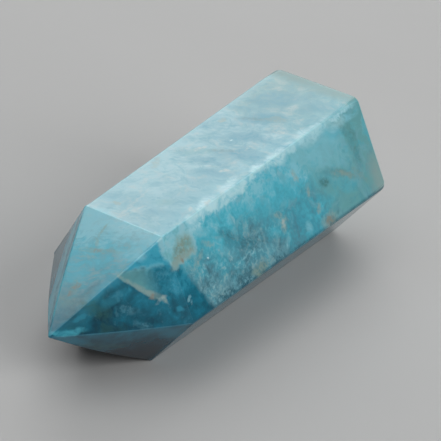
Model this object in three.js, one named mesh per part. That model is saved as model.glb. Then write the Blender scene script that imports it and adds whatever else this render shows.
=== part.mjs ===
// An apatite wand: one solid piece of blue stone, cut and polished by hand as a six-sided point.
// Its six long faces narrow a little from the flat base to the shoulder, where six triangular faces
// begin that meet in the tip. It lies on one of the long faces, with the tip towards +X.
import * as THREE from 'three';
import { ConvexGeometry } from 'three/addons/geometries/ConvexGeometry.js';

// Driving dimensions, in millimetres and degrees, measured from the middle of the base along the axis.
const TIP_AT = 71.9;
const EDGES_MEET_AT = 498.4; // where the six long edges would meet if they ran on past the tip
// The six long edges, uneven as on a stone cut by hand: each one's angle, seen from the tip and counted
// anticlockwise from the right, its distance from the axis at the base, and how far from the base its
// shoulder corner is.
const LONG_EDGES = [
  { angle: -120, radius: 14.54, shoulder: 54.1 },
  { angle: -61.5, radius: 14.14, shoulder: 53.2 },
  { angle: -2, radius: 14.84, shoulder: 54.5 },
  { angle: 60.5, radius: 14.84, shoulder: 54.9 },
  { angle: 121.5, radius: 14.64, shoulder: 54.9 },
  { angle: 181, radius: 14.24, shoulder: 53.2 },
];
// The polish has rounded every edge: most at the rim of the base, least on the point.
const BASE_ROUNDING = 2;
const EDGE_ROUNDING = 0.45;
const POINT_ROUNDING = 0.3;
const BASE_ROUNDING_ENDS_AT = 6;
const ROUNDING_STEPS = 4;

const STONE_COLOUR = 0x4f9fb2;
const DOWN = new THREE.Vector3(0, 0, -1);
const TOWARDS_BASE = new THREE.Vector3(-1, 0, 0);

// The sharp form, before its edges are rounded.
const tip = new THREE.Vector3(TIP_AT, 0, 0);
const apex = new THREE.Vector3(EDGES_MEET_AT, 0, 0);
const baseCorners = LONG_EDGES.map(({ angle, radius }) => {
  const turn = THREE.MathUtils.degToRad(angle);
  return new THREE.Vector3(0, radius * Math.cos(turn), radius * Math.sin(turn));
});
const shoulderCorners = LONG_EDGES.map(({ shoulder }, i) =>
  baseCorners[i].clone().lerp(apex, shoulder / EDGES_MEET_AT));

// The plane through three corners, facing away from the inside of the stone.
function facePlane(a, b, c) {
  const plane = new THREE.Plane().setFromCoplanarPoints(a, b, c);
  const inside = new THREE.Vector3(TIP_AT / 2, 0, 0);
  return plane.distanceToPoint(inside) > 0 ? plane.negate() : plane;
}

const next = (i) => (i + 1) % LONG_EDGES.length;
const previous = (i) => (i + LONG_EDGES.length - 1) % LONG_EDGES.length;
const longFaces = LONG_EDGES.map((_, i) => facePlane(baseCorners[i], baseCorners[next(i)], apex));
const pointFaces = LONG_EDGES.map((_, i) =>
  facePlane(shoulderCorners[i], shoulderCorners[next(i)], tip));

// The ball of a given radius that touches both long faces beside edge i, from inside, at distance x
// from the base: its centre is where the two faces, moved inwards by the radius, meet the plane at x.
function ballOnEdge(i, x, radius) {
  const planes = [longFaces[i], longFaces[previous(i)]];
  const rows = [...planes.map((plane) => plane.normal), new THREE.Vector3(1, 0, 0)];
  const matrix = new THREE.Matrix3().set(...rows.flatMap((row) => row.toArray())).invert();
  const sides = new THREE.Vector3(...planes.map((plane) => -plane.constant - radius), x);
  return sides.applyMatrix3(matrix);
}

// The same ball at the shoulder corner i: it slides along the edge until it lies, on average, against
// the two point faces that start there.
function ballAtShoulder(i) {
  const start = ballOnEdge(i, 0, POINT_ROUNDING);
  const along = ballOnEdge(i, 1, POINT_ROUNDING).sub(start);
  const slides = [pointFaces[i], pointFaces[previous(i)]].map((plane) =>
    -(plane.distanceToPoint(start) + POINT_ROUNDING) / plane.normal.dot(along));
  return start.addScaledVector(along, (slides[0] + slides[1]) / 2);
}

// The ball in the tip lies, on average, against all six point faces.
function ballAtTip() {
  const depths = pointFaces.map((plane) => POINT_ROUNDING / plane.normal.x);
  const depth = depths.reduce((sum, value) => sum + value, 0) / depths.length;
  return tip.clone().addScaledVector(TOWARDS_BASE, depth);
}

// Points on a ball, over the patch that lies between the normals of the faces which the ball touches.
// Each normal gives an exact point of its flat face.
function patchOnBall(centre, radius, normals) {
  const middle = normals.reduce((sum, normal) => sum.add(normal), new THREE.Vector3()).normalize();
  const points = [];
  normals.forEach((normal, i) => {
    const other = normals[(i + 1) % normals.length];
    for (let a = 0; a <= ROUNDING_STEPS; a += 1) {
      for (let b = 0; b <= ROUNDING_STEPS - a; b += 1) {
        const direction = middle.clone().multiplyScalar(ROUNDING_STEPS - a - b)
          .addScaledVector(normal, a).addScaledVector(other, b).normalize();
        points.push(centre.clone().addScaledVector(direction, radius));
      }
    }
  });
  return points;
}

function roundedPoints() {
  const normalsOf = (planes) => planes.map((plane) => plane.normal);
  const points = patchOnBall(ballAtTip(), POINT_ROUNDING, normalsOf(pointFaces));
  LONG_EDGES.forEach((_, i) => {
    const beside = normalsOf([longFaces[previous(i)], longFaces[i]]);
    const above = normalsOf([pointFaces[i], pointFaces[previous(i)]]);
    points.push(
      ...patchOnBall(ballOnEdge(i, BASE_ROUNDING, BASE_ROUNDING), BASE_ROUNDING,
        [...beside, TOWARDS_BASE]),
      ...patchOnBall(ballOnEdge(i, BASE_ROUNDING_ENDS_AT, EDGE_ROUNDING), EDGE_ROUNDING, beside),
      ...patchOnBall(ballAtShoulder(i), POINT_ROUNDING, [...beside, ...above]),
    );
  });
  return points;
}

const stone = new THREE.Mesh(
  new ConvexGeometry(roundedPoints()),
  new THREE.MeshStandardMaterial({ color: STONE_COLOUR, roughness: 0.12, metalness: 0 }),
);
stone.name = 'wand';

// The stone lies on its first long face, and its box is centred over the origin.
stone.quaternion.setFromUnitVectors(longFaces[0].normal, DOWN);
const box = new THREE.Box3().setFromObject(stone, true);
const middle = box.getCenter(new THREE.Vector3());
stone.position.set(-middle.x, -middle.y, -box.min.z);

const group = new THREE.Group();
group.add(stone);
export default group;
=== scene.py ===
import math

import bpy
import numpy as np
from bpy.props import FloatProperty, FloatVectorProperty, IntProperty, PointerProperty
from mathutils import Matrix, Vector


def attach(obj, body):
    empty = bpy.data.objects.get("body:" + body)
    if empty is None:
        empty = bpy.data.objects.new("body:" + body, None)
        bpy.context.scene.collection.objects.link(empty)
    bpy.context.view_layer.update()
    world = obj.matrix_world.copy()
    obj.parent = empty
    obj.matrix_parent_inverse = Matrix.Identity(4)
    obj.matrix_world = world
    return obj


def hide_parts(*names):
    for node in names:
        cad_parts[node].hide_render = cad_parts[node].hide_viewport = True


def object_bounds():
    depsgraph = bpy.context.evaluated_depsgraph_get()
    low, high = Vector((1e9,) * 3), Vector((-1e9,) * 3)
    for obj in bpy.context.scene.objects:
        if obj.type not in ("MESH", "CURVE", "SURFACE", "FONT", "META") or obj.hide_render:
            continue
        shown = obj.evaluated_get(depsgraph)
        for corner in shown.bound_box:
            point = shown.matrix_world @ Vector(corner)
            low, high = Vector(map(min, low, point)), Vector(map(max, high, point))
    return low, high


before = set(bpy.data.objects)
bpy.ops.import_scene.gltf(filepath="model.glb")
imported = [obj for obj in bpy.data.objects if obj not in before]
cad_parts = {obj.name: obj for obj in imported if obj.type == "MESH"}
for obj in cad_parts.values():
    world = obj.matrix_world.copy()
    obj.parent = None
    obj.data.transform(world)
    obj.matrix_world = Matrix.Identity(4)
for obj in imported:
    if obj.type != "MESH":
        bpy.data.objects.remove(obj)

# The wand is one polished piece of stone. Its sharp form is read from the flat faces of the frame's
# node, every edge is then rounded as the polish left it, and the colour, veils, flakes and flecks of
# the stone are worked out in the material from the place on the stone. The faces under the point and
# the long face low on the right are darkened as painted shade.

bl_info = {
    "name": "Apatite wand",
    "version": (1, 0, 0),
    "blender": (4, 5, 0),
    "location": "3D View > Sidebar > Wand",
    "description": "Makes a polished apatite wand and its stage",
    "category": "Object",
}

CAD_NODE = "wand"
CAD_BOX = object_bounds()
MM = 0.001
LONG_FACES = 6
SMALLEST_FACE = 100 * MM * MM  # square metres; a rounded edge has far less on one plane
SAME_PLANE = 0.9999  # cosine between the normals of two triangles of one flat face
LONG_FACE_LEAN = 0.3  # a long face's normal has less than this along the axis, a point face's more
TIP_X = 35.25  # millimetres; the places in the stone's material are counted with the tip at this x

# Grid rows over the base, along the long faces and up the point, for every six columns.
COLUMN_STEP = 6
BASE_ROWS, LONG_ROWS, POINT_ROWS = 4, 18, 9

SEED = 7
RIPPLE_WAVES = 7
RIPPLE_LENGTHS = (7, 16)  # shortest and longest wave, in millimetres
OUTWARDS_ALONG = 0.1  # the outward direction's lean along the stone; 1 is straight from the middle
WORN = 0.15  # an edge is fully worn where this share of its radius was taken off it


# -------------------------------- sizes and colours


def metres(name, description, default, low, high):
    """A length in the panel."""
    return FloatProperty(
        name=name, description=description, default=default, min=low, max=high, unit="LENGTH",
        precision=6)


def degrees(name, description, default, low=-180, high=180):
    """An angle in the panel."""
    default, low, high = (math.radians(value) for value in (default, low, high))
    return FloatProperty(
        name=name, description=description, default=default, min=low, max=high, subtype="ANGLE")


def rgb(name, description, default):
    """A colour in the panel."""
    return FloatVectorProperty(
        name=name, description=description, default=default, min=0, max=1, size=3, subtype="COLOR")


class StoneShape(bpy.types.PropertyGroup):
    base_rounding: metres(
        "Base rounding", "Radius that the polish left on the rim of the base",
        2.0 * MM, 0.1 * MM, 3 * MM)
    edge_rounding: metres(
        "Edge rounding", "Radius of the six long edges", 0.45 * MM, 0.1 * MM, 2 * MM)
    point_rounding: metres(
        "Point rounding", "Radius of the edges of the six-faced point",
        0.3 * MM, 0.05 * MM, 2 * MM)
    rounding_ends: metres(
        "Base rounding ends", "Distance from the base where the wider rounding ends",
        6 * MM, 1 * MM, 20 * MM)
    point_swell: metres(
        "Point swell", "Height of the slight cushion that hand polishing left on the point",
        0.35 * MM, 0, 1 * MM)
    waviness: metres(
        "Waviness", "How far hand polishing leaves a flat face uneven", 0.02 * MM, 0, 0.2 * MM)
    columns: IntProperty(
        name="Columns", description="Grid columns across each long face", default=36, min=8, max=60)


class StoneColours(bpy.types.PropertyGroup):
    # Ink and navy are also laid as painted shade on the faces under the point and the long face low on
    # the right.
    ink: rgb("Ink", "Nearly black blue under the point", (0.001, 0.016, 0.03))
    navy: rgb("Navy", "Dark clear blue of the point", (0.003, 0.075, 0.118))
    deep: rgb("Deep blue", "Clear deep blue behind the point", (0.006, 0.175, 0.26))
    sea: rgb("Sea blue", "Bright blue seen through the shoulder", (0.04, 0.37, 0.51))
    slate: rgb("Slate", "Darkest cloud of the long faces", (0.035, 0.13, 0.17))
    dusk: rgb("Dusk", "Dark lower part of the long faces", (0.085, 0.25, 0.31))
    teal: rgb("Teal", "Middle of the long faces", (0.07, 0.355, 0.445))
    cyan: rgb("Cyan", "Bright clear upper part of the long faces", (0.085, 0.47, 0.585))
    turquoise: rgb("Turquoise", "Thin milky veil", (0.23, 0.57, 0.66))
    milk: rgb("Milk", "Thick milky veil", (0.54, 0.79, 0.83))
    haze: rgb("Haze", "Cool cloud in the upper face", (0.045, 0.3, 0.405))
    mist: rgb("Mist", "Milky body of the upper face", (0.185, 0.43, 0.5))
    pearl: rgb("Pearl", "Palest wisps of the upper face", (0.305, 0.55, 0.61))
    sage: rgb("Sage", "Grey-green of the base end", (0.14, 0.385, 0.405))
    olive: rgb("Olive", "Dark green spots and streaks", (0.03, 0.12, 0.11))
    cream: rgb("Cream", "Pale flecks and fibres", (0.45, 0.57, 0.57))
    peach: rgb("Peach", "Pinkish stain", (0.28, 0.4, 0.38))
    ochre: rgb("Ochre", "Yellow-brown stain", (0.235, 0.325, 0.265))
    rust: rgb("Rust", "Reddish specks", (0.25, 0.225, 0.18))


class WandSettings(bpy.types.PropertyGroup):
    shape: PointerProperty(type=StoneShape)
    colours: PointerProperty(type=StoneColours)
    floor_colour: rgb("Floor colour", "Colour of the plain pale floor", (0.48, 0.48, 0.475))
    floor_size: metres("Floor size", "Side of the square floor", 4.0, 0.5, 20)
    camera_distance: metres(
        "Camera distance", "Distance from the camera to the point it looks at", 0.3627, 0.1, 5)
    camera_right: metres(
        "Camera right", "How far to the right of the stone's middle the camera looks",
        4.19 * MM, -1, 1)
    camera_up: metres(
        "Camera up", "How far above the stone's middle in the picture the camera looks",
        1.51 * MM, -1, 1)
    camera_azimuth: degrees(
        "Camera azimuth", "Turn of the view about the vertical; 0 looks along +Y", 119.36)
    camera_elevation: degrees("Camera elevation", "Height of the view above the floor", 29.8)
    camera_roll: degrees("Camera roll", "Turn of the picture about the line of sight", 7.15)
    camera_view: degrees("Camera view angle", "Angle that the picture spans", 10.5, 2, 90)


# -------------------------------- the form of the stone


def flat_faces(mesh):
    """The planes of the stone's polished faces as unit normals and distances from the origin.

    Triangles with the same normal are gathered, the largest first, and a group is a polished face if
    it covers a real area. Its distance is the area-weighted mean of normal times centre.
    """
    count = len(mesh.polygons)
    normals = np.empty(count * 3, np.float32)
    centres = np.empty(count * 3, np.float32)
    areas = np.empty(count, np.float32)
    mesh.polygons.foreach_get("normal", normals)
    mesh.polygons.foreach_get("center", centres)
    mesh.polygons.foreach_get("area", areas)
    normals = normals.reshape(-1, 3).astype(float)
    centres = centres.reshape(-1, 3).astype(float)
    left = areas.astype(float)
    found = []
    while left.max() > 0:
        biggest = int(left.argmax())
        group = (normals @ normals[biggest] > SAME_PLANE) & (left > 0)
        weight = left[group]
        left[group] = 0
        if weight.sum() > SMALLEST_FACE:
            normal = weight @ normals[group]
            normal /= np.linalg.norm(normal)
            found.append((*normal, weight @ (centres[group] @ normal) / weight.sum()))
    planes = np.array(found)
    return planes[:, :3], planes[:, 3]


def meeting_point(normals, distances):
    """The point nearest to lying on all of these planes, by least squares."""
    return np.linalg.lstsq(normals, distances, rcond=None)[0]


def sharp_corners(normals, distances):
    """Base corners, shoulder corners and tip of the form with no rounding.

    The base is the plane that faces furthest back, the long faces are the six whose normals are
    nearly square to the axis, and the other six meet in the tip. Corner i is where long faces i and
    i + 1 meet the base, or the two point faces that start there.
    """
    base = normals[:, 0].argmin()
    long_faces = np.flatnonzero(np.abs(normals[:, 0]) < LONG_FACE_LEAN)
    point_faces = np.flatnonzero(normals[:, 0] > LONG_FACE_LEAN)

    def by_turn(faces):
        return faces[np.argsort(np.arctan2(normals[faces, 2], normals[faces, 1]))]

    long_faces, point_faces = by_turn(long_faces), by_turn(point_faces)
    following = np.roll(long_faces, -1)
    point_following = np.roll(point_faces, -1)
    base_corners, shoulder_corners = [], []
    for i in range(LONG_FACES):
        sides = [long_faces[i], following[i]]
        chosen = sides + [base]
        base_corners.append(meeting_point(normals[chosen], distances[chosen]))
        chosen = sides + [point_faces[i], point_following[i]]
        shoulder_corners.append(meeting_point(normals[chosen], distances[chosen]))
    tip = meeting_point(normals[point_faces], distances[point_faces])
    return np.array(base_corners), np.array(shoulder_corners), tip


def crowded(count):
    """Values from 0 to 1 that crowd towards both ends: half of one minus the cosine of a half turn."""
    return 0.5 - 0.5 * np.cos(np.pi * np.linspace(0, 1, count + 1))


def sharp_grid(base_corners, shoulder_corners, tip, columns):
    """The sharp form as a grid: rows run from the middle of the base, over its rim, along the long
    faces and the point to the tip, and columns run round the stone.

    A ring is the hexagon of its six corners. Between two rings a row is their straight mix, and rows
    and columns crowd towards the edges, where the rounding needs them.
    """
    across = crowded(columns)[:-1, None]

    def ring(corners):
        after = np.roll(corners, -1, axis=0)
        sides = corners[:, None] * (1 - across) + after[:, None] * across
        return sides.reshape(-1, 3)

    rim, shoulder = ring(base_corners), ring(shoulder_corners)
    middle = np.broadcast_to(base_corners.mean(axis=0), rim.shape)
    end = np.broadcast_to(tip, rim.shape)
    towards_rim = np.sin(np.pi / 2 * np.linspace(0, 1, columns * BASE_ROWS // COLUMN_STEP + 1))
    rows = []
    for start, stop, steps in (
        (middle, rim, towards_rim),
        (rim, shoulder, crowded(columns * LONG_ROWS // COLUMN_STEP)),
        (shoulder, end, crowded(columns * POINT_ROWS // COLUMN_STEP)),
    ):
        mixes = steps[1:, None, None]
        rows.append(start[None] * (1 - mixes) + stop[None] * mixes)
    return np.concatenate([middle[None], *rows])


def rounded(points, radii, normals, distances, rounds=60):
    """Each point moved to where a rounded edge leaves it.

    The nearest point of the form shrunk by the radius is found by projecting onto each plane in turn
    (Dykstra's method), and the result lies one radius from it towards the sharp point. On a flat face
    that is the point itself, and along an edge it is an arc of the radius.
    """
    nearest = points.copy()
    steps = np.zeros((len(normals), *points.shape))
    for _ in range(rounds):
        for k, (normal, distance) in enumerate(zip(normals, distances)):
            start = nearest + steps[k]
            over = np.maximum(start @ normal - (distance - radii), 0)
            nearest = start - over[:, None] * normal
            steps[k] = start - nearest
    out = points - nearest
    length = np.linalg.norm(out, axis=1, keepdims=True)
    return nearest + out / np.maximum(length, 1e-9) * radii[:, None], length[:, 0] - radii


def ripple(points, rng):
    """A smooth unevenness from -1 to 1: the mean of sines of the place along a few fixed directions."""
    total = np.zeros(len(points))
    for _ in range(RIPPLE_WAVES):
        direction = rng.normal(size=3)
        wave_length = rng.uniform(*RIPPLE_LENGTHS) * MM
        direction *= 2 * np.pi / (wave_length * np.linalg.norm(direction))
        total += np.sin(points @ direction + rng.uniform(0, 2 * np.pi))
    return total / RIPPLE_WAVES


def grid_faces(rows, columns):
    """Quads between neighbouring rows and columns, closed round the stone, and a fan at each pole."""
    index = 1 + np.arange(rows * columns).reshape(rows, columns)
    after = np.roll(index, -1, axis=1)
    quads = np.stack([index[:-1], after[:-1], after[1:], index[1:]], axis=-1).reshape(-1, 4)
    first, last = np.zeros(columns, int), np.full(columns, rows * columns + 1)
    start = np.stack([first, after[0], index[0]], axis=-1)
    end = np.stack([index[-1], after[-1], last], axis=-1)
    return start.tolist() + quads.tolist() + end.tolist()


def stone_mesh(shape):
    """The polished stone: the sharp grid, rounded along its edges, with a slight cushion on the point
    (4 t (1 - t) of its height, t from 0 at the shoulder to 1 at the tip) and very slightly uneven.

    Two attributes serve the material: wear is 1 where an edge is rounded, and place is where a point
    lay before the cushion and the unevenness, in millimetres, with the tip at TIP_X.
    """
    normals, distances = flat_faces(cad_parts[CAD_NODE].data)
    base_corners, shoulder_corners, tip = sharp_corners(normals, distances)
    grid = sharp_grid(base_corners, shoulder_corners, tip, shape.columns)
    rows, columns = len(grid) - 2, grid.shape[1]
    points = np.concatenate([grid[0, :1], grid[1:-1].reshape(-1, 3), grid[-1, :1]])

    along = points[:, 0] - base_corners[:, 0].mean()
    shoulder_at = (shoulder_corners - base_corners)[:, 0].mean()
    radii = np.interp(
        along,
        [0, shape.rounding_ends, shoulder_at],
        [shape.base_rounding, shape.edge_rounding, shape.point_rounding],
    )
    points, pulled = rounded(points, radii, normals, distances)
    wear = np.clip(pulled / (WORN * radii), 0, 1)
    places = (points - (tip[0] - TIP_X * MM, 0, 0)) / MM

    rng = np.random.default_rng(SEED)
    centre = points.mean(axis=0)
    outward = points - centre
    outward[:, 0] *= OUTWARDS_ALONG
    outward /= np.maximum(np.linalg.norm(outward, axis=1, keepdims=True), 1e-9)
    on_point = np.clip((along - shoulder_at) / (tip[0] - shoulder_corners[:, 0].mean()), 0, 1)
    swell = shape.point_swell * 4 * on_point * (1 - on_point)
    points = points + (swell + (ripple(points, rng) - 1) * shape.waviness)[:, None] * outward
    points[:, 2] = np.maximum(points[:, 2], 0)

    mesh = bpy.data.meshes.new("polished_stone")
    mesh.from_pydata(points.tolist(), [], grid_faces(rows, columns))
    mesh.attributes.new("wear", "FLOAT", "POINT").data.foreach_set("value", wear.astype(np.float32))
    attribute = mesh.attributes.new("place", "FLOAT_VECTOR", "POINT")
    attribute.data.foreach_set("vector", places.astype(np.float32).ravel())
    mesh.shade_smooth()
    mesh.update()
    return mesh


# -------------------------------- shader building


class Socket:
    """A shader value that takes part in sums: an expression on values adds its Math nodes."""

    def __init__(self, shader, output):
        self.shader, self.output = shader, output

    def math(self, operation, other):
        return self.shader.node("ShaderNodeMath", {"operation": operation}, {0: self, 1: other})[0]

    def __add__(self, other):
        return self.math("ADD", other)

    __radd__ = __add__

    def __sub__(self, other):
        return self.math("SUBTRACT", other)

    def __mul__(self, other):
        return self.math("MULTIPLY", other)

    def __truediv__(self, other):
        return self.math("DIVIDE", other)

    def sway(self, amount):
        """A noise, which is a half on average, as a value that sways about 0."""
        return (self - 0.5) * amount

    def larger(self, other):
        return self.math("MAXIMUM", other)

    def smaller(self, other):
        return self.math("MINIMUM", other)

    def step(self, low, high, top=1.0):
        """0 below low, top above high, and smooth between; low may be the larger of the two.

        The node's inputs 1 and 2 are the ends it maps from, and 3 and 4 what it maps them to.
        """
        turned = low > high
        ends = {1: min(low, high), 2: max(low, high), 3: top * turned, 4: top * (not turned)}
        settings = {"interpolation_type": "SMOOTHSTEP"}
        return self.shader.node("ShaderNodeMapRange", settings, {0: self, **ends})[0]


class Outputs:
    """The outputs of a node, each as a Socket."""

    def __init__(self, shader, node):
        self.shader, self.node = shader, node

    def __getitem__(self, key):
        return Socket(self.shader, self.node.outputs[key])


class Shader:
    """A material's node tree."""

    def __init__(self, name):
        self.material = bpy.data.materials.new(name)
        self.material.use_nodes = True
        self.tree = self.material.node_tree
        self.tree.nodes.clear()

    def node(self, kind, settings=None, inputs=None):
        node = self.tree.nodes.new(kind)
        for key, value in (settings or {}).items():
            setattr(node, key, value)
        for key, value in (inputs or {}).items():
            if isinstance(value, Socket):
                self.tree.links.new(value.output, node.inputs[key])
            else:
                node.inputs[key].default_value = value
        return Outputs(self, node)

    def vector(self, operation, first, second):
        return self.node("ShaderNodeVectorMath", {"operation": operation}, {0: first, 1: second})

    def place(self):
        """The place on the object in millimetres."""
        coordinates = self.node("ShaderNodeTexCoord")["Object"]
        return self.vector("MULTIPLY", coordinates, (1 / MM,) * 3)[0]

    def attribute(self, name, output):
        return self.node("ShaderNodeAttribute", {"attribute_name": name})[output]

    def dot(self, place, other):
        other = other if isinstance(other, Socket) else tuple(other)
        return self.vector("DOT_PRODUCT", place, other)["Value"]

    def noise(self, place, size, detail, roughness=0.5):
        inputs = {"Vector": place, "Scale": 1 / size, "Detail": detail, "Roughness": roughness}
        return self.node("ShaderNodeTexNoise", {}, inputs)

    def stretched(self, place, direction, times):
        """The place with its part along a direction divided, so that a noise read there is drawn out."""
        along = self.dot(place, direction) * (1 / times - 1)
        shift = self.node("ShaderNodeVectorMath", {"operation": "SCALE"},
                          {0: tuple(direction), "Scale": along})[0]
        return self.vector("ADD", place, shift)[0]

    def shifted(self, place, size, amount):
        """The place moved about by a noise, so that what is drawn at it gets an uneven outline."""
        wander = self.noise(place, size, detail=2)["Color"]
        centred = self.vector("SUBTRACT", wander, (0.5, 0.5, 0.5))[0]
        moved = self.vector("MULTIPLY", centred, (amount,) * 3)[0]
        return self.vector("ADD", place, moved)[0]

    def mix(self, factor, first, second):
        """Two colours mixed; the node's colours are its inputs 6 and 7 and its output 2."""
        return self.node("ShaderNodeMix", {"data_type": "RGBA"}, {0: factor, 6: first, 7: second})[2]

    def ramp(self, value, stops):
        """A colour ramp; stops are pairs of a position and a colour."""
        out = self.node("ShaderNodeValToRGB", {}, {0: value})
        ramp = out.node.color_ramp
        while len(ramp.elements) < len(stops):
            ramp.elements.new(1.0)
        for element, (position, colour) in zip(ramp.elements, stops):
            element.position = position
            element.color = colour
        return out["Color"]


# -------------------------------- the stone's material

REFRACTION = 1.63  # the index of apatite

# The roughness of the polish, and what the mottling and a worn edge add to it.
POLISH, MOTTLED_POLISH, WORN_POLISH = 0.1, 0.1, 0.55

# Most of the polished faces, each known by the direction it looks in; +X is towards the point.
FACES = {
    "top": (0, 0, 1),
    "right": (0, 0.9, 0.5),
    "low right": (0, 0.8, -0.6),
    "left": (0, -0.9, 0.5),
    "point top": (0.6, 0, 0.8),
    "point right": (0.6, 0.7, 0.4),
    "point low right": (0.5, 0.7, -0.5),
    "point left": (0.5, -0.8, 0.3),
    "base": (-1, 0, 0),
    "point bottom": (0.6, 0, -0.8),
    "point low left": (0.5, -0.7, -0.5),
}

UPPER_FACE = 0.7  # the normal of an upper face has more than this upwards

# How far below a face's plane, in millimetres, a place is still on the face, and is off it.
ON_FACE, OFF_FACE = 0.04, 0.06

# Clouds lie in thin beds square to the first direction, and the point's left face is streaked along
# the second.
BEDDING = (-0.53, -0.51, 0.68)
STREAKS = (0.78, 0.31, -0.54)

WIDE_MARK = 0.55  # a mark with a larger half width than this has the outline of a wide cloud

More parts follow.
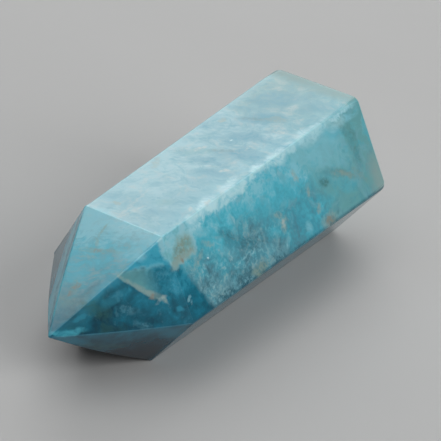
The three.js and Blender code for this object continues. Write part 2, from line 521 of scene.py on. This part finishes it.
# Clouds, streaks and flecks, one colour after another. A row has the face that a mark's middle lies
# on, its place there (x, then y on the two upper faces and z on the others), the turn of its long
# way from x in degrees, half its length, half its width and its strength. It fades from its middle,
# unless the row ends with how much of it does. All lengths are millimetres.
MARKS = {
    "haze": (  # cool clouds in the upper face
        ("top", 13, -3, 134, 3.2, 1.4, 0.28),
        ("top", 7.9, 2.2, 140, 3, 1.4, 0.22),
        ("top", 12.8, 2.8, 120, 2.6, 0.6, 0.45),
        ("top", -0.7, 2.3, 129, 2.4, 1, 0.5),
        ("top", -8.2, 2.6, 125, 2.8, 1.1, 0.5),
        ("top", -4.4, 0.6, 130, 2.6, 0.8, 0.35),
        ("top", -13.6, 0.4, 130, 3, 0.9, 0.45),
        ("top", -19.6, -0.9, 135, 2.8, 1.1, 0.85),
        ("top", -22.6, -2, 135, 2.6, 0.9, 0.45),
        ("top", -25.9, -2.4, 138, 3, 1.5, 0.7),
        ("top", 2.6, 1.9, 130, 2.2, 1, 0.35),
        ("top", -28, 3.4, 138, 2.4, 1.1, 0.35),
        ("right", -12.5, 14, 30, 3, 0.9, 0.4),
    ),
    "slate": (  # dark clouds low on the right
        ("right", 5, 18.2, 33, 2, 0.7, 0.6),
        ("right", 1.2, 15.9, 26, 2.6, 0.9, 0.6),
        ("right", 3.4, 12.2, 10, 3, 0.9, 0.4),
        ("right", -6.5, 12.2, 10, 2.4, 0.6, 0.3),
        ("point top", 30.4, 1.4, 163, 3.4, 0.9, 0.55),
    ),
    "sage": (  # greenish shades
        ("top", 10.3, 1.3, 130, 1.4, 0.7, 0.4),
        ("top", -5, -3, 140, 1.6, 0.6, 0.5),
        ("right", -27.5, 23.2, 35, 2.6, 0.6, 0.3),
        ("right", -29.6, 21.4, 70, 1.6, 0.7, 0.8),
        ("right", -24.5, 14, 20, 3, 1, 0.5),
        ("right", -23.7, 20.3, 20, 2, 1, 0.5),
    ),
    "deep": (  # light that reaches under the point
        ("point low right", 19.4, 8.6, 35, 2.2, 1.2, 0.8),
        ("point low right", 31.6, 9.6, 30, 2.6, 0.7, 0.8),
    ),
    "sea": (  # clear blue glints of the point
        ("point right", 19, 12.7, 30, 0.5, 0.28, 0.5),
        ("point right", 28.2, 15.8, 150, 2.2, 0.6, 0.55),
        ("point right", 30.9, 12.8, 158, 0.9, 0.3, 0.5, 0.9),
        ("point right", 31.3, 12.4, 145, 2.2, 0.9, 0.25),
        ("point right", 26.6, 14.9, 150, 1.4, 0.5, 0.35),
    ),
    "cyan": (  # bright clear places, and painted glints near the tip
        # These first two rows are painted glints near the tip.
        ("point right", 34.4, 11.2, 174, 0.6, 0.25, 0.7, 0.9),
        ("point right", 32.4, 11.1, 171, 1.4, 0.35, 0.75),
        ("point top", 24, -2.5, 105, 2.4, 1.1, 0.35),
        ("point top", 27, -2.1, 120, 1.4, 0.9, 0.7),
        ("right", -4.6, 18.4, 25, 3, 1.2, 0.4),
        ("right", -10.5, 19, 20, 2.6, 1.2, 0.45),
        ("right", -26.3, 22.6, 15, 2, 0.8, 0.7),
        ("right", -25.6, 15.5, 25, 2.2, 0.9, 0.55),
    ),
    "turquoise": (  # thin veils
        ("point top", 19.8, -4.8, 105, 2, 1.3, 1),
        ("point top", 22, 3.6, 110, 1.6, 0.7, 0.8),
        ("right", -22, 21.4, 10, 3.6, 1.7, 0.6),
        ("right", -22.6, 23.4, 5, 4.4, 0.8, 0.6),
        ("right", -26.5, 19.5, 20, 2.4, 1.2, 0.5),
        ("right", -31.4, 23.6, 10, 1.6, 0.6, 0.9, 0.8),
        ("right", -13.8, 12.9, 70, 0.7, 0.5, 0.75),
        ("right", -14.1, 20.4, 69, 0.9, 0.5, 0.7),
        ("right", 10.5, 20.6, 20, 1.6, 0.5, 0.5),
        ("right", 6.4, 16.2, 25, 1.6, 0.6, 0.35),
    ),
    "mist": (  # wisps in the point and pale haze low on the right
        ("point right", 24.1, 11.1, 40, 0.9, 0.35, 0.22),
        ("point right", 25.2, 13.4, 20, 1.2, 0.4, 0.16),
        ("right", 17.1, 13.7, 149, 0.4, 0.17, 0.9),
        ("right", 16.9, 13.1, 120, 0.3, 0.14, 0.8),
        ("right", 9, 12.4, 15, 2, 0.6, 0.45),
        ("right", -3.6, 13.4, 20, 2.4, 0.6, 0.45),
    ),
    "milk": (  # thick veils at the upper edge, and sparkles
        ("top", -15.9, 3.3, 118, 1.2, 0.7, 0.4),
        ("top", 5.9, 6.2, 200, 1.3, 0.6, 0.45),
        ("top", -0.6, 5.9, 200, 1.5, 0.7, 0.55),
        ("top", -6.4, 6.9, 185, 1, 0.6, 0.3),
        ("top", -17.1, 6.7, 190, 2, 0.6, 0.4),
        ("top", -10.9, -0.9, 170, 0.28, 0.14, 1, 0.4),
        ("right", 7.8, 23.2, 12, 2.2, 1, 0.9, 0.5),
        ("right", 0.4, 23, 12, 2, 1.1, 0.75, 0.5),
        ("right", 11.4, 22.6, 20, 0.9, 0.5, 0.5),
        ("right", -6.8, 24.2, 5, 1.8, 0.8, 0.9, 0.6),
        ("right", -11, 24, 5, 2.4, 0.9, 0.9),
        ("right", -27, 24, 5, 2.4, 0.9, 0.4),
        ("right", -20.5, 24.2, 5, 3.4, 0.9, 0.55),
        ("right", 10.5, 16.9, 20, 0.26, 0.18, 1, 0.5),
    ),
    "olive": (  # green-brown streaks
        ("top", -7.4, -0.3, 126, 1.3, 0.35, 0.45),
        ("top", -18.6, -2, 126, 1.6, 0.35, 0.35),
        ("right", -30.6, 19.3, 100, 2.8, 0.8, 0.34),
        ("right", -29.1, 22.1, 60, 1, 0.5, 0.34),
        ("right", -20.6, 17.2, 18, 0.9, 0.5, 0.6),
        ("right", -23.8, 17.7, 20, 2.6, 0.5, 0.28),
        ("right", 16.3, 20, 33, 0.8, 0.4, 0.25, 0.9),
        ("point right", 29.1, 14, 35, 1.6, 0.7, 0.6),
        ("point right", 28.4, 13, 20, 0.9, 0.4, 0.5),
        ("point low right", 26.5, 7, 20, 2.6, 0.9, 0.4),
    ),
    "ochre": (  # yellow-brown stains
        ("top", -20.5, 1, 120, 1.3, 0.7, 0.45, 0.9),
        ("right", -27, 16.3, 30, 1.8, 0.35, 0.6),
        ("right", -29.8, 15.4, 45, 1.6, 0.35, 0.4),
        ("right", 0.2, 11.8, 5, 1.3, 0.6, 0.8),
        ("point top", 30.2, -0.6, 106, 1.5, 0.8, 0.3),
        ("point top", 23.2, -0.8, 106, 2.2, 0.3, 0.45),
        ("point top", 29, 1.4, 163, 1.8, 0.4, 0.2, 0.9),
        ("point top", 24.4, 3.9, 163, 0.8, 0.3, 0.25, 0.9),
        ("point top", 20.7, -2.2, 175, 1.1, 0.18, 0.5, 0.9),
        ("point top", 22.6, -1.7, 31, 1.2, 0.18, 0.5, 0.9),
        ("point top", 28.6, -0.9, 20, 1, 0.35, 0.5),
    ),
    "peach": (  # pinkish flecks
        ("top", 15, -3.9, 90, 0.45, 0.3, 0.8),
        ("top", -15.2, -5.3, 0, 0.6, 0.3, 0.8),
        ("top", 2, -6, 20, 1.2, 0.4, 0.6),
        ("right", -14.2, 20.2, 69, 0.8, 0.35, 0.8),
        ("right", -16.2, 17.2, 121, 0.6, 0.3, 0.85),
        ("right", -17.4, 14.5, 122, 0.6, 0.35, 0.85),
        ("right", -8.1, 15.2, 100, 0.9, 0.45, 1),
        ("right", -7.7, 16.7, 20, 0.7, 0.4, 0.85),
        ("right", -9.1, 15.8, 60, 0.5, 0.3, 0.7),
        ("right", -19.2, 12.1, 12, 1.7, 0.8, 0.8),
        ("right", -25.2, 17, 20, 1.6, 0.3, 0.6),
        ("right", 12.6, 17.4, 150, 1.2, 0.35, 0.7),
        ("right", 9.6, 18.6, 30, 0.9, 0.3, 0.6),
        ("point top", 24.4, -1.8, 104, 1, 0.25, 0.5, 0.9),
    ),
    "rust": (  # reddish specks
        ("right", -19.3, 12.1, 12, 0.9, 0.45, 0.9),
        ("right", 15.9, 18.5, 30, 0.35, 0.25, 0.8, 0.8),
        ("point right", 21.8, 14.7, 152, 0.4, 0.26, 0.8),
        ("point top", 28.2, -0.7, 139, 0.4, 0.28, 0.9),
        ("point top", 29.4, -0.9, 144, 0.35, 0.25, 0.8),
        ("point top", 23.3, -1.1, 100, 0.35, 0.22, 0.6),
    ),
    "cream": (  # pale flecks and fibres
        ("top", -25.4, 0.9, 170, 1, 0.5, 0.5),
        ("top", -17.6, 3.6, 125, 0.8, 0.3, 0.6),
        ("top", 14.6, -1.9, 6, 3.8, 0.22, 0.4),
        ("top", 15.6, -0.9, 167, 2.2, 0.2, 0.4),
        ("top", 6.6, 6.2, 15, 0.6, 0.25, 0.8),
        ("top", -2.7, 3.2, 150, 0.6, 0.25, 0.8),
        ("top", -5.8, -3.3, 159, 0.8, 0.25, 0.8),
        ("top", 9.6, 5.2, 20, 0.5, 0.2, 0.7),
        ("right", -14, 20.1, 69, 0.4, 0.2, 0.6),
        ("right", -8.2, 15.4, 100, 0.5, 0.25, 0.6),
        ("point right", 21, 14.2, 150, 0.6, 0.22, 0.5),
    ),
    "pearl": (  # fine pale lines
        ("right", 2.6, 19.6, 66, 0.4, 0.2, 0.9),
        ("right", -7.5, 12.6, 121, 0.5, 0.13, 0.8),
        ("right", 10.6, 13.4, 160, 0.5, 0.2, 0.6),
        ("right", 9.2, 15.6, 140, 0.4, 0.2, 0.6),
        ("right", 11.8, 16.2, 60, 0.4, 0.22, 0.6),
        ("right", 5.8, 15.2, 30, 0.35, 0.2, 0.6),
        ("right", 3.1, 14.2, 167, 1.4, 0.09, 0.6),
        ("right", 1.3, 14.1, 156, 2, 0.09, 0.6),
        ("right", 12.4, 19.3, 100, 0.7, 0.35, 0.8),
    ),
}


class Layers:
    """The stone's colour, built up in layers, by places in millimetres."""

    # Marks of these colours are broken up by the grain of the stone, or by its clouds.
    BROKEN_UP = ("ochre", "peach", "cream", "pearl", "olive", "rust", "mist")
    CLOUDED = ("haze", "slate", "sage", "cyan", "turquoise", "milk")

    def __init__(self, shader, planes, colours):
        self.shader = shader
        self.normals, self.distances = planes
        self.colours = colours
        self.colour = (0, 0, 0, 1)
        self.place_noises()

    def place_noises(self):
        """Places moved about by noises, and the noises that the layers share, from 0 to 1."""
        shader = self.shader
        self.place = shader.attribute("place", "Vector")
        self.x, self.y, self.z = (shader.dot(self.place, axis) for axis in np.eye(3))
        self.wide = shader.shifted(self.place, 4.0, 3.0)
        self.narrow = shader.shifted(self.place, 0.8, 0.9)
        self.calm = shader.shifted(self.place, 1.2, 0.5)
        self.drift = shader.shifted(self.wide, 9.0, 12.0)
        self.bedded = shader.stretched(self.wide, BEDDING, 1 / 2.2)
        self.bed = shader.noise(self.bedded, 4.5, detail=5, roughness=0.62)[0]
        self.cloud = shader.noise(self.wide, 4.0, detail=3, roughness=0.6)[0]
        self.mottle = shader.noise(self.wide, 1.8, detail=5, roughness=0.65)[0]
        self.grain = shader.noise(self.narrow, 0.6, detail=2, roughness=0.6)[0]
        self.thin = shader.noise(self.bedded, 1.3, detail=4, roughness=0.65)[0]
        self.warm = shader.noise(self.drift, 2.8, detail=3, roughness=0.6)[0]
        self.broken = self.grain.step(0.36, 0.6) * 0.55 + self.mottle.step(0.35, 0.6) * 0.25 + 0.2
        self.clouded = self.thin.step(0.3, 0.62) * 0.6 + 0.35

    def tint(self, name):
        return (*getattr(self.colours, name), 1)

    def ramp(self, value, *stops):
        """A colour that changes with a value; stops are pairs of a value and a colour's name."""
        return self.shader.ramp(value, [(position, self.tint(name)) for position, name in stops])

    def lay(self, mask, colour):
        """Lay a colour over what is there, as far as the mask says."""
        self.colour = self.shader.mix(mask, self.colour, colour)

    def paint(self, mask, name):
        """Lay a named colour in the same way."""
        self.lay(mask, self.tint(name))

    def plane(self, name):
        """Normal and distance of the polished face that looks most nearly in a named direction."""
        k = int((self.normals @ np.array(FACES[name])).argmax())
        return self.normals[k], self.distances[k]

    def height(self, name):
        """Height over the plane of a face: 0 on the face itself and less on all the others."""
        normal, distance = self.plane(name)
        return self.shader.dot(self.place, normal) - distance

    def on(self, name, blur=0.1):
        """1 on a face and 0 elsewhere, fading over the edges."""
        return self.height(name).step(-OFF_FACE - blur, -ON_FACE)

    def spot(self, name, x, other):
        """The place on a face at x and at y, or at z where the face is not an upper one."""
        normal, distance = self.plane(name)
        given, found = (1, 2) if normal[2] > UPPER_FACE else (2, 1)
        place = np.zeros(3)
        place[0], place[given] = x, other
        place[found] = (distance - place @ normal) / normal[found]
        return place

    def mark(self, name, x, other, turn, half_length, half_width, strength, blur=1.0):
        """A cloud or fleck: a long rounded body with its middle on a face, cut by the surface.

        It goes by the square of how far out a place is, where its long way counts for less.
        """
        middle = self.spot(name, x, other)
        turn = math.radians(turn)
        ahead = self.spot(name, x + math.cos(turn), other + math.sin(turn))
        long_way = (ahead - middle) / np.linalg.norm(ahead - middle)
        place = self.wide if half_width > WIDE_MARK else self.narrow
        off = self.shader.vector("SUBTRACT", place, tuple(middle))[0]
        along = self.shader.dot(off, long_way * math.sqrt(1 - (half_width / half_length) ** 2))
        squared = self.shader.dot(off, off) - along * along
        return squared.step(((1 + blur) * half_width) ** 2, ((1 - blur) * half_width) ** 2, strength)

    def marks(self, rows, tint):
        """Lay down marks of one colour; where they cross, the stronger one holds."""
        total = self.mark(*rows[0])
        for row in rows[1:]:
            total = total.larger(self.mark(*row))
        if tint in self.BROKEN_UP:
            total = total * self.broken
        elif tint in self.CLOUDED:
            total = total * self.clouded
        self.paint(total, tint)

    def inside(self, place, corners, closed=True):
        """Signed depth within an outline in the x-z plane, or behind an open line of its sides.

        The corners run against the clock, with x to the right and z up.
        """
        depth = None
        after = corners[1:] + corners[:1] if closed else corners[1:]
        for (x0, z0), (x1, z1) in zip(corners, after):
            length = math.hypot(x1 - x0, z1 - z0)
            across = ((z0 - z1) / length, 0, (x1 - x0) / length)
            this = self.shader.dot(place, across) - (across[0] * x0 + across[2] * z0)
            depth = this if depth is None else depth.smaller(this)
        return depth


# In the functions below, the two numbers of a step are where it starts and ends: millimetres for x, y,
# z and a height or depth, and values from 0 to 1 for a noise. What a mask is multiplied by is how
# strongly its colour covers.


def paint_body(layers):
    """The long faces, clouded along thin slanting beds, and the base.

    They are bright teal under the upper edge and darker below it, greyer green and paler to the
    base, and finely mottled low down near the point.
    """
    x, z = layers.x, layers.z
    cloud, mottle, grain, warm = layers.cloud, layers.mottle, layers.grain, layers.warm
    clouds = cloud.sway(1) + layers.bed.sway(0.2) + mottle.sway(0.8) + grain.sway(0.45)
    height = z.step(9, 17) * 0.22 + z.step(15, 22.5) * 0.52 + x.step(0, -12) * z.step(19, 14) * 0.16
    layers.colour = layers.ramp(
        0.2 + height + clouds,
        (0.02, "slate"), (0.26, "dusk"), (0.5, "teal"), (0.76, "cyan"), (1, "turquoise"))
    layers.paint(warm.step(0.52, 0.66) * 0.45, "mist")
    near = x.step(-14, 4)
    speckle = grain.step(0.42, 0.68) * z.step(20, 16) * near
    layers.paint(speckle * mottle.step(0.34, 0.58) * 0.6, "mist")
    layers.paint(speckle * warm.step(0.48, 0.6) * 0.6, "peach")
    layers.paint(speckle * mottle.step(0.5, 0.66) * 0.4, "pearl")
    along = x + cloud.sway(9) + mottle.sway(5) - (z - 17) * 0.5
    layers.paint(along.step(-15, -22) * (mottle.step(0.38, 0.58) * 0.5 + 0.5), "sage")
    veil = along.step(-17, -22) * along.step(-33, -27) * z.step(15, 22)
    layers.paint(veil * (mottle.step(0.38, 0.62) * 0.5 + 0.25), "turquoise")
    layers.paint(along.step(-16, -22) * warm.step(0.5, 0.64) * 0.5, "mist")
    layers.paint((x + mottle.sway(5)).step(-30.5, -34.5) * z.step(20, 14) * 0.8, "peach")
    base = layers.on("base", 1.5)
    layers.paint(base * (mottle.step(0.4, 0.62) * 0.5 + 0.2), "turquoise")
    layers.paint(base * cloud.step(0.62, 0.36) * 0.5, "teal")
    layers.paint(base * warm.step(0.44, 0.68) * 0.4, "peach")


def paint_top(layers):
    """The upper face: a milky body with long soft wisps, a ragged milky rim, and a painted highlight
    along its left edge.
    """
    x, y = layers.x, layers.y
    mottle, grain, thin, warm = layers.mottle, layers.grain, layers.thin, layers.warm
    top = layers.on("top", 0.3)
    clouds = layers.bed.sway(1.5) + thin.sway(1) + grain.sway(0.3)
    clouds = clouds * (x.step(13, -5) * 0.35 + 0.65)
    paler = x.step(-26, 4) * 0.2 + x.step(16, 8) * x.step(-6, 2) * 0.12
    milky = layers.ramp(
        0.44 + clouds + paler - y * 0.016, (0.1, "haze"), (0.5, "mist"), (0.9, "pearl"))
    ragged = layers.cloud.sway(2.6) + mottle.sway(2.2) + grain.sway(0.6)
    edge = layers.height("top") + ragged - x.step(-1, -8) * 0.9
    along_rim = x.step(-35, -31) * x.step(17, 11)
    band = layers.on("right", 0.4) * edge.step(-1.9, -1.3) * along_rim
    layers.paint(band * 0.85, "turquoise")
    layers.paint(band * (edge.step(-1.7, -0.3) * 0.4 + mottle.step(0.42, 0.58) * 0.45), "milk")
    layers.lay(layers.height("top").step(-0.05, -0.005), milky)
    layers.paint(top * y.step(2, 6) * 0.3, "turquoise")
    far = top * (x + layers.bed.sway(16)).step(-14, -26)
    layers.paint(far * 0.45, "sage")
    layers.paint(far * y.step(6, -3) * (mottle.step(0.4, 0.6) * 0.2 + 0.15), "peach")
    layers.paint(top * warm.step(0.5, 0.64) * mottle.step(0.4, 0.6) * 0.35, "cream")
    layers.paint(top * warm.step(0.47, 0.36) * 0.3, "haze")
    # Painted highlight: a pale pearl band along the top face's left edge, where the rim catches the
    # light.
    left = layers.height("left") + ragged * 0.4
    layers.paint(top * left.step(-1.6, 0.3) * 0.5, "pearl")
    end = (layers.height("base") + ragged).step(-5, -1.5)
    layers.paint(top * end * 0.85, "sage")
    layers.paint(top * end * (y.step(2, -5) * 0.2 + 0.35), "olive")
    layers.paint(top * end * 0.3, "peach")


def paint_point(layers):
    """The point: clear deep blue, which each of its faces shows in another tone, and painted shade
    below.
    """
    vein = layers.shader.noise(layers.wide, 2.4, detail=4, roughness=0.55)[0]
    paint_point_right(layers, vein)
    paint_point_top(layers)
    paint_point_left(layers, vein)
    paint_shaded_low_faces(layers, vein)


def paint_point_right(layers, vein):
    """The point's right face, and the clear blue that goes on from it past the shoulder."""
    x, z = layers.x, layers.z
    mottle, grain, warm = layers.mottle, layers.grain, layers.warm
    tone = (0.58 + vein.sway(0.8) + mottle.sway(0.35) + grain.sway(0.2)
            + z.step(12.5, 16.5) * x.step(24, 19) * 0.16 + z.step(13, 17) * 0.06
            - x.step(21, 30) * 0.2 - z.step(12.5, 10.5) * 0.06)
    blue = layers.ramp(tone, (0.12, "ink"), (0.42, "navy"), (0.68, "deep"), (1, "sea"))
    clear = x - z * 0.57 + mottle.sway(2.4) + grain.sway(1.4)
    right = layers.on("right", 0.2)
    layers.paint(clear.step(4, 6.2) * right * grain.step(0.45, 0.6) * 0.4, "mist")
    layers.lay(clear.step(5.7, 7.1) * right, blue)

    point_right = layers.on("point right")
    layers.lay(point_right, blue)
    layers.paint(point_right * warm.step(0.52, 0.66) * grain.step(0.4, 0.6) * 0.14, "mist")
    layers.paint(point_right * warm.step(0.48, 0.38) * x.step(24, 29) * 0.4, "olive")
    glow = layers.height("point top").step(-1.3, -0.3) * x.step(22, 26) * x.step(31.5, 29)
    layers.paint(point_right * glow * 0.3, "sea")


def paint_point_top(layers):
    """The point's upper face: pale at the shoulder and dusky at the tip, in fine slanting bands."""
    x, mottle, grain, warm = layers.x, layers.mottle, layers.grain, layers.warm
    bands = layers.shader.noise(layers.bedded, 1.6, detail=5, roughness=0.62)[0]
    tone = ((x - 19.5) / 15 + layers.y * 0.03 + bands.sway(0.8) + mottle.sway(0.4)
            - grain.sway(0.25))
    colour = layers.ramp(
        tone, (0, "turquoise"), (0.2, "cyan"), (0.45, "teal"), (0.72, "dusk"), (1, "deep"))
    point_top = layers.on("point top")
    layers.lay(point_top, colour)
    layers.paint(point_top * x.step(22.5, 18.5) * 0.7, "turquoise")
    layers.paint(point_top * x.step(22, 18.5) * (bands.step(0.4, 0.6) * 0.3 + 0.1), "milk")
    wisps = point_top * (bands * 0.6 + warm * 0.4).step(0.44, 0.62)
    layers.paint(wisps * x.step(34, 27) * 0.6, "mist")
    stain = point_top * bands.step(0.5, 0.64) * warm.step(0.46, 0.62)
    layers.paint(stain * x.step(34, 26) * 0.2, "peach")


def paint_point_left(layers, vein):
    """The point's left face: streaks that follow its upper edge, and dark blue below them."""
    drawn = layers.shader.stretched(layers.narrow, STREAKS, 5.0)
    streak = layers.shader.noise(drawn, 0.8, detail=4, roughness=0.6)[0]
    depth = layers.height("point top") * -0.16
    colour = layers.ramp(
        depth + streak.sway(0.9),
        (0, "cyan"), (0.14, "deep"), (0.3, "cyan"), (0.5, "sea"), (0.8, "navy"))
    point_left = layers.on("point left")
    layers.lay(point_left, colour)
    far_down = point_left * depth.step(0.5, 0.9)
    layers.paint(far_down * vein.step(0.42, 0.6) * 0.6, "deep")
    layers.paint(far_down * layers.mottle.step(0.5, 0.66) * 0.35, "dusk")


def paint_shaded_low_faces(layers, vein):
    """The faces under the point, nearly black at the bottom, and the long face low on the right, all
    darkened as painted shade.
    """
    # Painted shade: the point's deep blue goes darker towards the bottom of the faces under it.
    low = (layers.z - 3) / 10 + vein.sway(0.8)
    colour = layers.ramp(low, (0.1, "ink"), (0.5, "navy"), (0.85, "deep"))
    for name in ("point low right", "point bottom", "point low left"):
        layers.lay(layers.on(name), colour)
    # Painted shade: the long face low on the right is darkened with navy.
    dark = layers.mottle.step(0.62, 0.36) * 0.3 + 0.62
    layers.paint(layers.on("low right", 0.6) * dark, "navy")


# Outlines of what is seen inside the stone by the shoulder: x and z of their corners, in millimetres.
WINDOW = ((18, 23), (18.6, 18.9), (22.5, 18.5), (25.4, 18.2))
SHEET = ((25.7, 18.2), (20.6, 18.7), (20.2, 13.5), (22.9, 15.2))
SHEET_RIM = (*SHEET[2:], SHEET[0])
FOLD = ((19.4, 19.1), (19.4, 18.7), (22.6, 18.3), (25.2, 18), (22.6, 18.7))
LEAF = ((13.2, 24), (11.9, 20), (12.9, 18.3), (18.1, 17.9), (19.3, 19.8), (19.4, 24))
STAIN = ((18.3, 19), (15.6, 21.6), (12.8, 21.2), (12.4, 18.6), (18.4, 17.9))


def paint_sheets(layers):
    """Two pale sheets inside the stone behind the point, and the bright blue between them."""
    x, mottle, grain, warm = layers.x, layers.mottle, layers.grain, layers.warm
    point_right = layers.on("point right")
    window = layers.inside(layers.narrow, WINDOW).step(-0.2, 0.3) * point_right
    layers.paint(window * 0.95, "sea")
    layers.paint(window * mottle.step(0.5, 0.68) * 0.3, "cyan")
    layers.paint(window * mottle.step(0.48, 0.38) * 0.35, "deep")

    sheet = layers.inside(layers.calm, SHEET).step(-0.1, 0.25) * point_right
    layers.paint(sheet * x.step(20, 23) * (0.45 + mottle * 0.5), "sage")
    rim = layers.inside(layers.calm, SHEET_RIM, closed=False)
    width = x.step(25.5, 21.5) * 0.5 + 0.3
    layers.paint(sheet * (rim - width).step(0.3, -0.2) * (layers.broken * 0.7 + 0.1), "peach")
    fold = layers.inside(layers.narrow, FOLD).step(-0.3, 0.3) * point_right
    layers.paint(fold * x.step(25, 23) * 0.45, "turquoise")

    both_sides = layers.on("right", 0.2).larger(point_right)
    leaf = layers.inside(layers.narrow, LEAF).step(-0.2, 0.4) * both_sides
    layers.paint(leaf * 0.9, "turquoise")
    layers.paint(leaf * mottle.step(0.42, 0.6) * 0.3, "cream")
    layers.paint(leaf * mottle.step(0.52, 0.4) * 0.5, "sage")
    depth = layers.inside(layers.narrow, STAIN)
    stain = depth.step(-0.5, 0.8) * both_sides
    layers.paint(stain * (grain.step(0.3, 0.6) * 0.5 + 0.4), "ochre")
    layers.paint(stain * warm.step(0.5, 0.42) * 0.4, "sage")
    layers.paint(depth.step(-0.3, 0.6) * both_sides * layers.z.step(19.6, 18.6) * 0.8, "peach")


def material_planes(mesh):
    """The planes of the flat faces in the material's millimetres, with the tip at TIP_X."""
    normals, distances = flat_faces(mesh)
    tip = sharp_corners(normals, distances)[2]
    return normals, distances / MM - normals[:, 0] * (tip[0] / MM - TIP_X)


def stone_material(mesh, colours):
    shader = Shader("polished_apatite")
    layers = Layers(shader, material_planes(mesh), colours)
    paint_body(layers)
    paint_top(layers)
    paint_point(layers)
    paint_sheets(layers)
    for tint, rows in MARKS.items():
        layers.marks(rows, tint)
    wear = shader.attribute("wear", "Fac")
    roughness = POLISH + layers.mottle * MOTTLED_POLISH + wear * WORN_POLISH
    bsdf = shader.node("ShaderNodeBsdfPrincipled", {}, {
        "Base Color": layers.colour, "Roughness": roughness, "IOR": REFRACTION,
        "Subsurface Weight": 0.35, "Subsurface Radius": (0.3, 0.8, 1.0), "Subsurface Scale": 3 * MM})
    shader.node("ShaderNodeOutputMaterial", {}, {"Surface": bsdf["BSDF"]})
    return shader.material


FLOOR_SHADE = 0.94  # the floor's faint clouds have this share of its brightness


def floor_material(colour):
    shader = Shader("plain_floor")
    place = shader.place()
    grain = shader.noise(place, 40, detail=3)[0]
    darker = [part * FLOOR_SHADE for part in colour]
    tint = shader.mix(grain.step(0.3, 0.7) * 0.25, (*colour, 1), (*darker, 1))
    bsdf = shader.node("ShaderNodeBsdfPrincipled", {}, {"Base Color": tint, "Roughness": 0.7})
    shader.node("ShaderNodeOutputMaterial", {}, {"Surface": bsdf["BSDF"]})
    return shader.material


# -------------------------------- operators


def link(name, data):
    piece = bpy.data.objects.new(name, data)
    bpy.context.scene.collection.objects.link(piece)
    return piece


class WAND_OT_polished_stone(bpy.types.Operator):
    """Make the polished stone with its rounded edges and its material"""

    bl_idname = "wand.polished_stone"
    bl_label = "Polished stone"

    def execute(self, context):
        settings = context.scene.wand_settings
        stone = link("polished_stone", stone_mesh(settings.shape))
        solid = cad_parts[CAD_NODE].data
        stone.data.materials.append(stone_material(solid, settings.colours))
        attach(stone, "root")
        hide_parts(CAD_NODE)
        return {"FINISHED"}


WORLD_COLOUR = (0.12, 0.125, 0.13, 1)
NEAREST_SEEN = 0.01  # metres from the camera

# The soft lights: name, direction from the stone, distance and side in metres, and power in watts.
SOFTBOXES = (
    ("back_softbox", (-0.73, -0.43, 0.53), 0.7, 0.6, 2.0),
    ("top_softbox", (0.18, -0.2, 0.96), 0.9, 1.0, 3.6),
    ("side_fill", (0.1, 0.8, 0.6), 0.9, 0.6, 4.5),
)


def look_from(azimuth, elevation, roll):
    """A camera's turn: azimuth 0 looks along +Y, and roll turns the picture about the line of sight."""
    back = Vector((
        math.sin(azimuth) * math.cos(elevation),
        -math.cos(azimuth) * math.cos(elevation),
        math.sin(elevation),
    ))
    right = Vector((0, 0, 1)).cross(back).normalized()
    up = back.cross(right)
    turn = Matrix((right, up, back)).transposed()
    return turn @ Matrix.Rotation(roll, 3, "Z"), back


class WAND_OT_stage(bpy.types.Operator):
    """Make the floor, the soft lights and the camera"""

    bl_idname = "wand.stage"
    bl_label = "Stage"

    def execute(self, context):
        settings = context.scene.wand_settings
        self.make_floor(settings)
        self.make_lights(context.scene)
        self.make_camera(context.scene, settings)
        context.scene.view_settings.view_transform = "Standard"
        return {"FINISHED"}

    def make_floor(self, settings):
        half = settings.floor_size / 2
        corners = [(-half, -half, 0), (half, -half, 0), (half, half, 0), (-half, half, 0)]
        mesh = bpy.data.meshes.new("floor")
        mesh.from_pydata(corners, [], [(0, 1, 2, 3)])
        floor = link("floor", mesh)
        mesh.materials.append(floor_material(settings.floor_colour))

    def make_lights(self, scene):
        world = bpy.data.worlds.new("studio")
        world.use_nodes = True
        world.node_tree.nodes["Background"].inputs["Color"].default_value = WORLD_COLOUR
        scene.world = world
        for name, direction, distance, size, power in SOFTBOXES:
            lamp = bpy.data.lights.new(name, "AREA")
            lamp.shape = "SQUARE"
            lamp.size = size
            lamp.energy = power
            light = link(name, lamp)
            light.location = Vector(direction).normalized() * distance
            light.rotation_euler = Vector(direction).to_track_quat("Z", "Y").to_euler()

    def make_camera(self, scene, settings):
        turn, back = look_from(
            settings.camera_azimuth, settings.camera_elevation, settings.camera_roll)
        low, high = CAD_BOX
        middle = (Vector(low) + Vector(high)) / 2
        target = middle + turn @ Vector((settings.camera_right, settings.camera_up, 0))
        data = bpy.data.cameras.new("camera")
        data.angle = settings.camera_view
        data.clip_start = NEAREST_SEEN
        camera = link("camera", data)
        place = target + back * settings.camera_distance
        camera.matrix_world = Matrix.Translation(place) @ turn.to_4x4()
        scene.camera = camera


class WAND_PT_panel(bpy.types.Panel):
    bl_idname = "WAND_PT_panel"
    bl_label = "Apatite wand"
    bl_space_type = "VIEW_3D"
    bl_region_type = "UI"
    bl_category = "Wand"

    def draw(self, context):
        settings = context.scene.wand_settings
        column = self.layout.column()
        for group in (settings.shape, settings.colours):
            for name in type(group).__annotations__:
                column.prop(group, name)
        for operator in OPERATORS:
            column.operator(operator.bl_idname)


OPERATORS = (WAND_OT_polished_stone, WAND_OT_stage)
CLASSES = (StoneShape, StoneColours, WandSettings, *OPERATORS, WAND_PT_panel)


def register():
    for cls in CLASSES:
        bpy.utils.register_class(cls)
    bpy.types.Scene.wand_settings = PointerProperty(type=WandSettings)


def unregister():
    del bpy.types.Scene.wand_settings
    for cls in reversed(CLASSES):
        bpy.utils.unregister_class(cls)


def main():
    register()
    bpy.ops.wand.polished_stone()
    bpy.ops.wand.stage()


if __name__ == "__main__":
    main()
